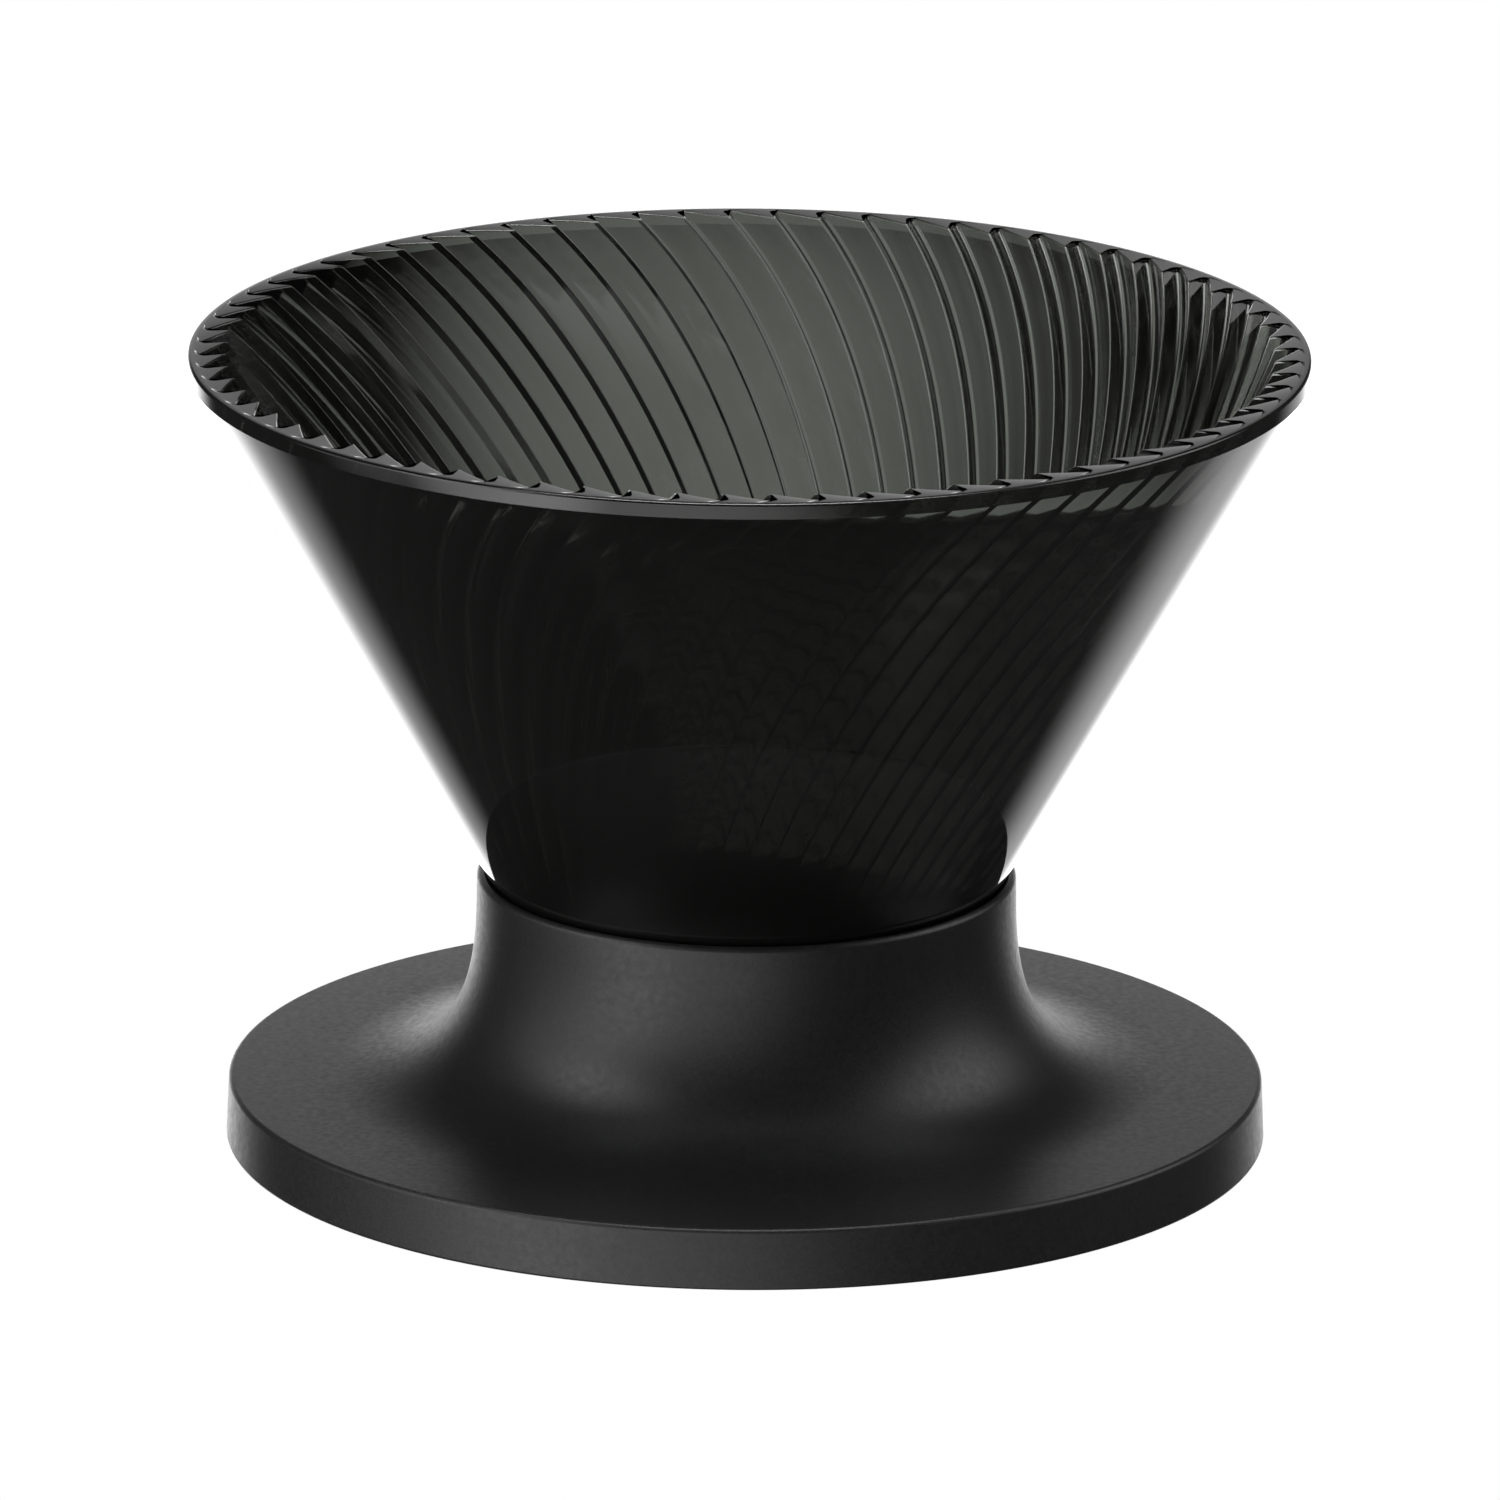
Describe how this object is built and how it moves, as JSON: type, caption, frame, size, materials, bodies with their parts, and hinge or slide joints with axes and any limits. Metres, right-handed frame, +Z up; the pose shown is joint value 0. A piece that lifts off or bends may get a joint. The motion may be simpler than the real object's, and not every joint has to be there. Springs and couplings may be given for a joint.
{
  "type": "pour over dripper",
  "caption": "Pour over coffee dripper: a dark translucent cone with spiral ribs that lifts out of a matte black collared base.",
  "frame": {"origin": "centre of the circle on which the base stands", "axes": "+Z up along the axis of the cone and base, +X and +Y level"},
  "size_m": [0.1164, 0.1164, 0.0845],
  "materials": {
    "base_plastic": "matte, fine grained, near black",
    "cone_resin": "glossy, smoke black, translucent"
  },
  "bodies": {
    "holder": {"base": "base_plastic"},
    "funnel": {"cone": "cone_resin"}
  },
  "joints": [
    {"name": "cone_lift", "type": "slide", "parent": "holder", "child": "funnel", "axis": [0, 0, 1], "range_m": [0, 0.06]}
  ]
}
